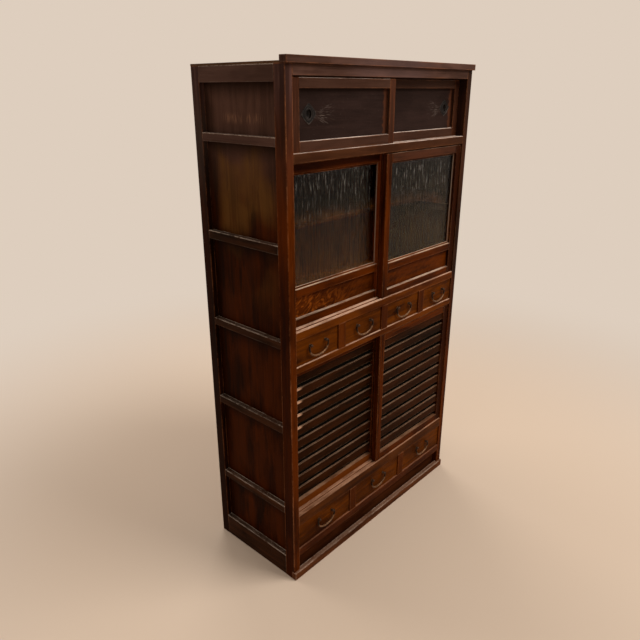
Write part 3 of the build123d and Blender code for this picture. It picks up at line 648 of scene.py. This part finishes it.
def nail_scratches(name, pull_name, inward):
    """The more function for one panel. Strokes fan out from the pull towards the middle of the door:
    a noise is read by slope seen from the pull, so that it is drawn out along each line from there.
    At the end by the middle of the front the stain is rubbed through in a ragged strip."""
    right_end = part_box(name)[1].x
    pull_low, pull_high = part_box(pull_name)
    centre = (pull_low + pull_high) / 2

    def scratch(tree, place, colour, figure):
        parts = split(tree, place)
        away = product(tree, reckon(tree, "SUBTRACT", parts["X"], centre.x), inward)
        above = reckon(tree, "SUBTRACT", parts["Z"], centre.z)
        slope = reckon(tree, "DIVIDE", above, reckon(tree, "MAXIMUM", away, 0.01))
        lines = noise(tree, join(tree, product(tree, slope, 26.0), product(tree, away, 30.0)), 3.0, 0.65)
        near = product(tree, band(tree, away, 0.030, 0.05, 0.07), band(tree, slope, -0.35, 0.2, 0.15))
        strokes = product(tree, step(tree, lines, 0.52, 0.64), near)
        scuffs = noise(tree, stretched(tree, place, 150.0, 150.0), 4.0, 0.7)
        scuffs = product(tree, step(tree, scuffs, 0.6, 0.7), 0.14)
        scraped = product(tree, reckon(tree, "MAXIMUM", strokes, scuffs), 0.38)
        colour = blend_colour(tree, scraped, colour, NAIL_GREY)
        teeth = noise(tree, stretched(tree, place, 40.0, 90.0), 4.0)
        ragged = times_plus(tree, teeth, 0.03, parts["X"])
        strip = step(tree, ragged, right_end - 0.012, right_end - 0.004)
        return blend_colour(tree, product(tree, strip, 0.45), colour, RUBBED_STRIP)

    return scratch


PANEL_DEEP = srgb(25, 17, 15)
PANEL_LIGHT = srgb(47, 34, 31)
for side, inward in (("left", 1.0), ("right", -1.0)):
    panel_node = f"upper_{side}_door_panel"
    scratch = nail_scratches(panel_node, f"upper_{side}_door_pull", inward)
    panel_wood = stained_wood(f"upper {side} panel wood", "X", PANEL_DEEP, PANEL_LIGHT, PANEL_LIGHT,
                              rings=0.15, wear=0.0, film=0.0, grit=0.0, gloss=0.42, more=scratch)
    dress(panel_wood, panel_node)

# ------------------------------------------------------- finger pulls
# Each pull is a pressed iron shell: a lozenge plate with a rolled oval mouth and a
# shallow cup behind it, pushed into a hole in the panel. Its edges are worn bright.
def carried_profile(name, rings, smooth_angle=math.radians(40)):
    """A closed skin from an array of rings, each a closed loop of points: neighbours along and
    round the array make the faces, and the first and last rings are closed by one face each."""
    count, around = rings.shape[:2]
    index = np.arange(count * around).reshape(count, around)
    after = np.roll(index, -1, axis=1)
    faces = np.stack([index[:-1], after[:-1], after[1:], index[1:]], axis=-1).reshape(-1, 4)
    mesh = bpy.data.meshes.new(name)
    ends = [index[0][::-1].tolist(), index[-1].tolist()]
    mesh.from_pydata(rings.reshape(-1, 3).tolist(), [], faces.tolist() + ends)
    mesh.validate()
    mesh.shade_smooth()
    mesh.set_sharp_from_angle(angle=smooth_angle)
    piece = bpy.data.objects.new(name, mesh)
    bpy.context.scene.collection.objects.link(piece)
    return piece


def iron(name, colour, worn, wear, gloss, more=None):
    """Blackened wrought iron: an uneven dark skin, rubbed brighter on the edges and by more."""
    material, tree = new_material(name)
    place = object_place(tree)
    scale = noise(tree, stretched(tree, place, 160.0, 160.0), 4.0, 0.65)
    rubbed = use(tree, worn_edge, Vector=place, Reach=0.0015, Wear=wear)["Mask"]
    brighter = (*[2.0 * value for value in colour[:3]], 1.0)
    skin = blend_colour(tree, step(tree, scale, 0.35, 0.7), colour, brighter)
    skin = blend_colour(tree, rubbed, skin, worn)
    if more is not None:
        skin = more(tree, place, skin, scale)
    rough = times_plus(tree, scale, 0.25, gloss)
    relief = add(tree, "ShaderNodeBump", {"Strength": 0.4, "Distance": 0.0004, "Height": scale})
    principled(tree, {"Base Color": skin, "Roughness": rough, "Metallic": 0.35, "Normal": relief[0],
                      "Specular IOR Level": 0.15})
    return material


PULL_IRON = iron("pull iron", srgb(14, 10, 9), srgb(126, 112, 104), wear=0.7, gloss=0.42)
MOUTH_ACROSS, MOUTH_UP = 0.0105, 0.013


def pull_shell(name, low, high, face_y):
    """A loop turns round the pull while its outline goes from lozenge to oval. The lozenge's radius
    is 1 over the sum of |cos| and |sin| raised to a power a little over 1, which rounds its corners.
    Each ring has a share of lozenge, a size and a depth, and the rings run from the back of the cup
    round the plate's rim and in over the rolled mouth to the cup's floor."""
    turn = np.linspace(0.0, 2.0 * np.pi, 97)[:-1]
    power = 1.25
    lozenge = (np.abs(np.cos(turn)) ** power + np.abs(np.sin(turn)) ** power) ** (-1.0 / power)
    profile = np.array([
        # lozenge share, size, metres out from the panel's face; first the back of the cup
        (0.0, 0.15, -0.0083), (0.0, 0.9, -0.0082), (0.0, 1.03, -0.0070), (0.0, 1.04, -0.0005),
        (0.0, 1.10, 0.0000),
        # the rim of the plate and its face
        (1.0, 0.985, 0.0000), (1.0, 1.0, 0.0005), (1.0, 0.985, 0.0011), (1.0, 0.92, 0.0013),
        (1.0, 0.90, 0.0008), (0.75, 0.93, 0.0007),
        # the two rolls round the mouth
        (0.0, 1.75, 0.0007), (0.0, 1.62, 0.0012), (0.0, 1.35, 0.0012), (0.0, 1.24, 0.0007),
        (0.0, 1.20, 0.0010), (0.0, 1.08, 0.0012), (0.0, 1.00, 0.0008),
        # the wall and the floor of the cup
        (0.0, 0.97, -0.0010), (0.0, 0.94, -0.0050), (0.0, 0.80, -0.0066), (0.0, 0.5, -0.0072),
        (0.0, 0.15, -0.0074),
    ])
    share, size, depth = profile[:, 0:1], profile[:, 1:2], profile[:, 2:3]
    middle, half = (low + high) / 2, (high - low) / 2
    across = size * (share * half.x * lozenge + (1 - share) * MOUTH_ACROSS) * np.cos(turn)
    up = size * (share * half.z * lozenge + (1 - share) * MOUTH_UP) * np.sin(turn)
    out = face_y - depth * np.ones_like(turn)
    return carried_profile(name, np.stack([middle.x + across, out, middle.z + up], axis=-1))


for side in ("left", "right"):
    face_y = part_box(f"upper_{side}_door_panel")[0].y
    pull = pull_shell(f"upper_{side}_pull_shell", *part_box(f"upper_{side}_door_pull"), face_y)
    pull.data.materials.append(PULL_IRON)
    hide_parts(f"upper_{side}_door_pull")
    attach(pull, f"upper_{side}_door")

# ------------------------------------------------------- reeded glass
# The panes are rolled glass with fine upright reeds that wander a little, as old
# rollers left them. They bend what is behind into streaks, and painted upright streaks of
# light and shade add to these; their brown tint is painted darker towards the head as shade.
REED_PITCH = 0.0095
REED_RISE = 0.0006
GLASS_HEAD_SHADE = srgb(100, 82, 70)
GLASS_FOOT = srgb(255, 210, 116)
GLASS_SHADOW = srgb(240, 240, 230)
BLACK = srgb(0, 0, 0)
GLASS_SHADE_FROM_Z = 1.12
GLASS_SHADE_AT_Z = 1.42
GLINTS_FROM_Z = 1.24
GLINTS_AT_Z = 1.40


def reeded_pane(name, low, high):
    """A pane whose front rises as a row of round reeds: the rise is the height of half a sine along
    x, and the row's phase drifts with x and z by a few slow sine waves. The back is flat."""
    across, rows = 430, 72
    x = np.linspace(low.x, high.x, across)
    z = np.linspace(low.z, high.z, rows)[:, None]
    drift = 0.16 * np.sin(17.0 * z + 23.0 * x) + 0.12 * np.sin(41.0 * z - 61.0 * x + 1.3)
    drift = drift + 0.5 * np.sin(310.0 * x) + 0.10 * np.sin(97.0 * z + 180.0 * x)
    rise = REED_RISE * np.abs(np.sin(np.pi * (x - low.x) / REED_PITCH + drift)) ** 0.8
    front = np.stack(np.broadcast_arrays(x, low.y + REED_RISE - rise, z), axis=-1)
    back = np.stack(np.broadcast_arrays(x[::-1][::10], high.y, z), axis=-1)
    return carried_profile(name, np.concatenate([back, front], axis=1), math.radians(70))


def glass(name):
    """Glass whose tint is painted darker from its foot to its head, as shade, with painted upright
    streaks of light and shade, and threads near the top that catch the light. Rays from lamps pass
    straight through."""
    material, tree = new_material(name)
    parts = split(tree, object_place(tree))
    height = parts["Z"]
    streak_place = join(tree, product(tree, parts["X"], 210.0), 0.0, product(tree, height, 9.0))
    painted_streak = step(tree, noise(tree, streak_place, 3.0, 0.7), 0.39, 0.56)
    glint_place = join(tree, product(tree, parts["X"], 230.0), 3.0, product(tree, height, 19.0))
    glints = step(tree, noise(tree, glint_place, 2.0, 0.6), 0.57, 0.70)
    glints = product(tree, glints, step(tree, height, GLINTS_FROM_Z, GLINTS_AT_Z, 0.10, 1.0))
    # Painted shade darkens the tint towards the head, and painted streaks of light and shade run up it:
    shade = step(tree, height, GLASS_SHADE_FROM_Z, GLASS_SHADE_AT_Z, 1.0, 0.05)
    bright = blend_colour(tree, shade, GLASS_HEAD_SHADE, GLASS_FOOT)
    streak_shade = blend_colour(tree, 0.42, BLACK, bright)
    tint = blend_colour(tree, painted_streak, streak_shade, bright)
    values = {"Base Color": tint, "Roughness": 0.07, "Transmission Weight": 1.0, "IOR": 1.2,
              "Specular IOR Level": 0.01, "Coat Weight": glints, "Coat IOR": 2.4, "Coat Roughness": 0.1}
    surface = add(tree, "ShaderNodeBsdfPrincipled", values)
    clear = add(tree, "ShaderNodeBsdfTransparent", {"Color": GLASS_SHADOW})
    path = tree.nodes.new("ShaderNodeLightPath").outputs
    mixed = add(tree, "ShaderNodeMixShader", {0: path["Is Shadow Ray"], 1: surface[0], 2: clear[0]})
    add(tree, "ShaderNodeOutputMaterial", {"Surface": mixed[0]})
    return material


PANE_GLASS = glass("reeded pane glass")
for side in ("left", "right"):
    pane = reeded_pane(f"glass_{side}_pane", *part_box(f"glass_{side}_door_glass"))
    pane.data.materials.append(PANE_GLASS)
    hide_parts(f"glass_{side}_door_glass")
    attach(pane, f"glass_{side}_door")

# --------------------------------------------- glass-door lower panels
# Below each pane is a low board chosen for its figure, with amber flames and a little
# burl, let in behind the face of the rails.
AMBER_FLAME = srgb(140, 72, 20)


def burl(tree, place, colour, figure):
    """The more function for the low panels: amber flames licking up to the right, strongest at the
    left end of the left door."""
    parts = split(tree, place)
    lean = times_plus(tree, parts["Z"], -0.9, parts["X"])
    lick_place = join(tree, product(tree, lean, 34.0), product(tree, parts["Z"], 30.0))
    licks = step(tree, noise(tree, lick_place, 4.0, 0.6, 2.2), 0.46, 0.62)
    where = step(tree, times_plus(tree, parts["Z"], 1.5, parts["X"]), 1.13, 1.42, 1.0, 0.15)
    return blend_colour(tree, product(tree, licks, where, 0.75), colour, AMBER_FLAME)


lower_panel_wood = stained_wood("lower panel wood", "X", srgb(36, 10, 0), srgb(88, 38, 4), FRAME_FADED,
                                fade=0.1, rings=0.4, wear=0.0, film=0.0, grit=0.0, more=burl)
dress(lower_panel_wood, "glass_left_door_lower_panel", "glass_right_door_lower_panel")

# -------------------------------------------------------------- slats
# Ten thin slats cross each lower door with narrow gaps between them, so that air
# reaches the food. Their upper arrises are worn and dusty.
SLAT_PITCH = 0.0493
RUBBED_PALE = srgb(214, 166, 134)
HAND_FOOT_Z = 0.57
HAND_HEAD_Z = 0.745


def rubbed_ends(tree, place, colour, figure):
    """The more function for the slats: above the middle of the left door, hands have rubbed the
    slats' left ends pale."""
    parts = split(tree, place)
    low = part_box("slat_left_door_slats")[0]
    above_foot = reckon(tree, "SUBTRACT", parts["Z"], low.z)
    up_slat = reckon(tree, "FRACT", product(tree, above_foot, 1.0 / SLAT_PITCH))
    top_edge = step(tree, up_slat, 0.50, 0.56)
    end = step(tree, parts["X"], low.x + 0.022, low.x + 0.040, 0.9, 0.0)
    rows = band(tree, parts["Z"], HAND_FOOT_Z, HAND_HEAD_Z, 0.02)
    return blend_colour(tree, product(tree, top_edge, end, rows), colour, RUBBED_PALE)


slat_wood = stained_wood("slat wood", "X", srgb(20, 7, 1), srgb(54, 25, 7), FRAME_FADED, wear=1.1,
                         reach=0.003, film=0.45, grit=0.4, dust=srgb(140, 112, 92),
                         worn=srgb(150, 120, 96), more=rubbed_ends)
dress(slat_wood, "slat_left_door_slats", "slat_right_door_slats")

# --------------------------------------------------------- wire screen
# Fine fly-screen wire is stretched behind the slats and held to the back of each door's
# frame. Its dark green paint has gone nearly black.
WIRE_PITCH = 0.0018
WIRE_SHARE = 0.42
WIRE_PAINT = srgb(15, 14, 9)


def wire_screen(name):
    """Two sets of fine bars, one upright and one level, cover the sheet; between them it is open."""
    material, tree = new_material(name)
    parts = split(tree, object_place(tree))
    bars = []
    for axis in ("X", "Z"):
        along = reckon(tree, "FRACT", product(tree, parts[axis], 1.0 / WIRE_PITCH))
        bars.append(reckon(tree, "LESS_THAN", along, WIRE_SHARE))
    wired = reckon(tree, "MAXIMUM", *bars)
    principled(tree, {"Base Color": WIRE_PAINT, "Roughness": 0.8, "Specular IOR Level": 0.05, "Alpha": wired})
    return material


dress(wire_screen("green screen wire"), "slat_left_door_mesh", "slat_right_door_mesh")

# ------------------------------------------------------------ drawers
# The fronts are stained like the rails around them; the sides, back and bottom are
# thin bare boards nailed together, which show only when a drawer is out.
DRAWERS = [f"upper_drawer_{n}" for n in range(1, 5)] + [f"lower_drawer_{n}" for n in range(1, 4)]
DRAWER_FRONT_DEPTH = 0.0185


def bare_behind(name):
    """The more function for the drawers, whose fronts stand in one plane: behind them it is bare."""
    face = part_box(name)[0].y

    def strip(tree, place, colour, figure):
        bare = blend_colour(tree, figure["Figure"], BARE_DEEP, BARE_LIGHT)
        behind = reckon(tree, "GREATER_THAN", split(tree, place)["Y"], face + DRAWER_FRONT_DEPTH)
        return blend_colour(tree, behind, colour, bare)

    return strip


drawer_wood = stained_wood("drawer wood", "X", srgb(42, 14, 0), srgb(102, 50, 4), FRAME_FADED, wear=0.4,
                           rings=0.35, more=bare_behind("upper_drawer_1_box"))
dress(drawer_wood, *[f"{drawer}_box" for drawer in DRAWERS])

# -------------------------------------------------- handles of drawers
# A forged bail hangs from two ball-headed posts. It is thick in the middle and thin
# at its ends, which are flattened into eyes and pinned through the balls.
POST_IRON = iron("post iron", srgb(46, 30, 20), srgb(170, 134, 104), wear=0.6, gloss=0.34)
GRIP_DROP = 0.017
# Polish with a painted highlight for the lowest part of each bail:
GRIP_POLISH_AND_HIGHLIGHT = srgb(180, 132, 92)
BETWEEN_ROWS_Z = 0.5


def pivot_height(drawer):
    """The height at which a drawer's bail turns, which is the middle of its posts."""
    low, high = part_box(f"{drawer}_posts")
    return (low.z + high.z) / 2


def polish_and_highlight_grip(tree, place, colour, scale):
    """The more function for the bails: the lowest part of each one is bright, kept polished by fingers
    and with a painted highlight. Their two rows hang from the heights of the upper and the lower
    drawers' posts."""
    height = split(tree, place)["Z"]
    in_upper = reckon(tree, "GREATER_THAN", height, BETWEEN_ROWS_Z)
    row = blend(tree, in_upper, pivot_height("lower_drawer_1"), pivot_height("upper_drawer_1"))
    low = step(tree, reckon(tree, "SUBTRACT", row, height), GRIP_DROP, GRIP_DROP + 0.008)
    broken = step(tree, scale, 0.35, 0.6, 0.3, 1.0)
    return blend_colour(tree, product(tree, low, broken, 0.42), colour, GRIP_POLISH_AND_HIGHLIGHT)


BAIL_IRON = iron("bail iron", srgb(22, 12, 6), srgb(150, 112, 84), wear=0.4, gloss=0.27, more=polish_and_highlight_grip)
BAR_SIDES = 20


def tapered_bar(name, path, radii):
    """A round bar along a path of points in one plane of equal y. Each ring stands square to the
    path: one axis is Y and the other is the path's direction turned a quarter in that plane."""
    way = np.gradient(path, axis=0)
    way = way / np.linalg.norm(way, axis=1, keepdims=True)
    out = np.stack([way[:, 2], np.zeros(len(path)), -way[:, 0]], axis=-1)
    turn = np.linspace(0.0, 2.0 * np.pi, BAR_SIDES + 1)[:-1][None, :, None]
    ring = np.cos(turn) * out[:, None, :] + np.sin(turn) * np.array([0.0, 1.0, 0.0])
    return carried_profile(name, path[:, None, :] + radii[:, None, None] * ring)


def bail_bar(name, low, high, pivot_y, pivot_z):
    """The bail's line is a half oval hung from its two eyes: it bulges out a little below them, as
    the sine of twice the angle does. The bar grows from thin at the eyes to stout at its lowest."""
    middle = (low.x + high.x) / 2
    swell, thin, stout = 0.0026, 0.0023, 0.0034
    reach = (high.x - low.x) / 2 - stout - 0.0002
    drop = pivot_z - low.z - stout
    angle = np.linspace(0.0, np.pi, 65)
    bulge = swell * np.sign(np.cos(angle)) * np.abs(np.sin(2 * angle))
    x = middle - (reach - swell) * np.cos(angle) - bulge
    z = pivot_z - drop * np.sin(angle) ** 0.85
    path = np.stack([x, np.full_like(x, pivot_y), z], axis=-1)
    radii = thin + (stout - thin) * np.sin(angle) ** 0.7
    return tapered_bar(name, path, radii)


for drawer in DRAWERS:
    low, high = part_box(f"{drawer}_bail")
    bar = bail_bar(f"{drawer}_bail_bar", low, high, (low.y + high.y) / 2, pivot_height(drawer))
    bar.data.materials.append(BAIL_IRON)
    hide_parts(f"{drawer}_bail")
    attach(bar, f"{drawer}_bail")
    dress(POST_IRON, f"{drawer}_posts")

# --------------------------------------------------------- the studio
# A plain pale floor that turns into the pale backdrop away from the cabinet, a pale
# sky that lights things at half the strength it shows, and four soft lamps.
PALE = srgb(222, 206, 190)
FLOOR_PAINT = srgb(205, 186, 168)
FLOOR_REACH = 30.0
PAINT_ALONE = 0.9
BACKDROP_ALONE = 3.2
floor_mesh = bpy.data.meshes.new("floor")
corners = [(FLOOR_REACH * x, FLOOR_REACH * y, 0) for x, y in ((-1, -1), (1, -1), (1, 1), (-1, 1))]
floor_mesh.from_pydata(corners, [], [(0, 1, 2, 3)])
floor = bpy.data.objects.new("floor", floor_mesh)
bpy.context.scene.collection.objects.link(floor)


def seen_rays(tree):
    """1 for the rays that see: the camera's, and those mirrored or let through by glass."""
    path = tree.nodes.new("ShaderNodeLightPath").outputs
    seen = reckon(tree, "MAXIMUM", path["Is Camera Ray"], path["Is Glossy Ray"])
    return reckon(tree, "MAXIMUM", seen, path["Is Transmission Ray"])


def floor_finish():
    """Plain matt paint near the cabinet; from 0.9 m away more and more of the backdrop's own colour
    shows instead, straight on and in metal and glass."""
    material, tree = new_material("floor paint")
    away = add(tree, "ShaderNodeVectorMath", {0: object_place(tree)}, operation="LENGTH")["Value"]
    paint = add(tree, "ShaderNodeBsdfPrincipled", {"Base Color": FLOOR_PAINT, "Roughness": 0.7})
    backdrop = add(tree, "ShaderNodeEmission", {"Color": PALE, "Strength": 1.0})
    share = product(tree, step(tree, away, PAINT_ALONE, BACKDROP_ALONE), seen_rays(tree))
    mixed = add(tree, "ShaderNodeMixShader", {0: share, 1: paint[0], 2: backdrop[0]})
    add(tree, "ShaderNodeOutputMaterial", {"Surface": mixed[0]})
    return material


floor_mesh.materials.append(floor_finish())

world = bpy.data.worlds.new("studio")
world.use_nodes = True
sky = world.node_tree
sky.nodes.clear()
SKY_LIGHT = 0.5
strength = times_plus(sky, seen_rays(sky), 1.0 - SKY_LIGHT, SKY_LIGHT)
shown = add(sky, "ShaderNodeBackground", {"Color": PALE, "Strength": strength})
add(sky, "ShaderNodeOutputWorld", {"Surface": shown[0]})
bpy.context.scene.world = world


LAMP_COLOUR = (1.0, 0.95, 0.88)
CABINET_MIDDLE = (0.0, 0.0, 0.95)


def soft_lamp(name, place, size, power):
    """A square soft lamp that faces the middle of the cabinet."""
    lamp = bpy.data.lights.new(name, "AREA")
    lamp.shape = "SQUARE"
    lamp.size = size
    lamp.energy = power
    lamp.color = LAMP_COLOUR
    holder = bpy.data.objects.new(name, lamp)
    holder.location = place
    holder.rotation_mode = "QUATERNION"
    holder.rotation_quaternion = (Vector(CABINET_MIDDLE) - Vector(place)).to_track_quat("-Z", "Y")
    holder.visible_camera = False
    bpy.context.scene.collection.objects.link(holder)


soft_lamp("front lamp", (1.2, -2.3, 4.2), size=2.2, power=155.0)
soft_lamp("left lamp", (-3.0, -0.9, 3.6), size=2.0, power=9.0)
soft_lamp("far lamp", (1.8, 2.8, 3.4), size=2.0, power=50.0)
soft_lamp("back lamp", (-0.9, 3.4, 3.4), size=2.4, power=50.0)

# --------------------------------------------------------- the camera
# It stands at eye height off the left front corner, looks a little down and has a lens
# of moderate width.
SENSOR_WIDTH = 36.0
FOCAL_LENGTH = 33.53
EYE_PLACE = (-1.6651, -1.4027, 1.6656)
LOOK_DOWN = math.radians(21.18)
LOOK_RIGHT = math.radians(47.487)
camera_lens = bpy.data.cameras.new("camera")
camera_lens.sensor_width = SENSOR_WIDTH
camera_lens.lens = FOCAL_LENGTH
camera = bpy.data.objects.new("camera", camera_lens)
camera.location = EYE_PLACE
camera.rotation_euler = (math.pi / 2 - LOOK_DOWN, 0.0, -LOOK_RIGHT)
bpy.context.scene.collection.objects.link(camera)
bpy.context.scene.camera = camera
bpy.context.scene.view_settings.view_transform = "Standard"
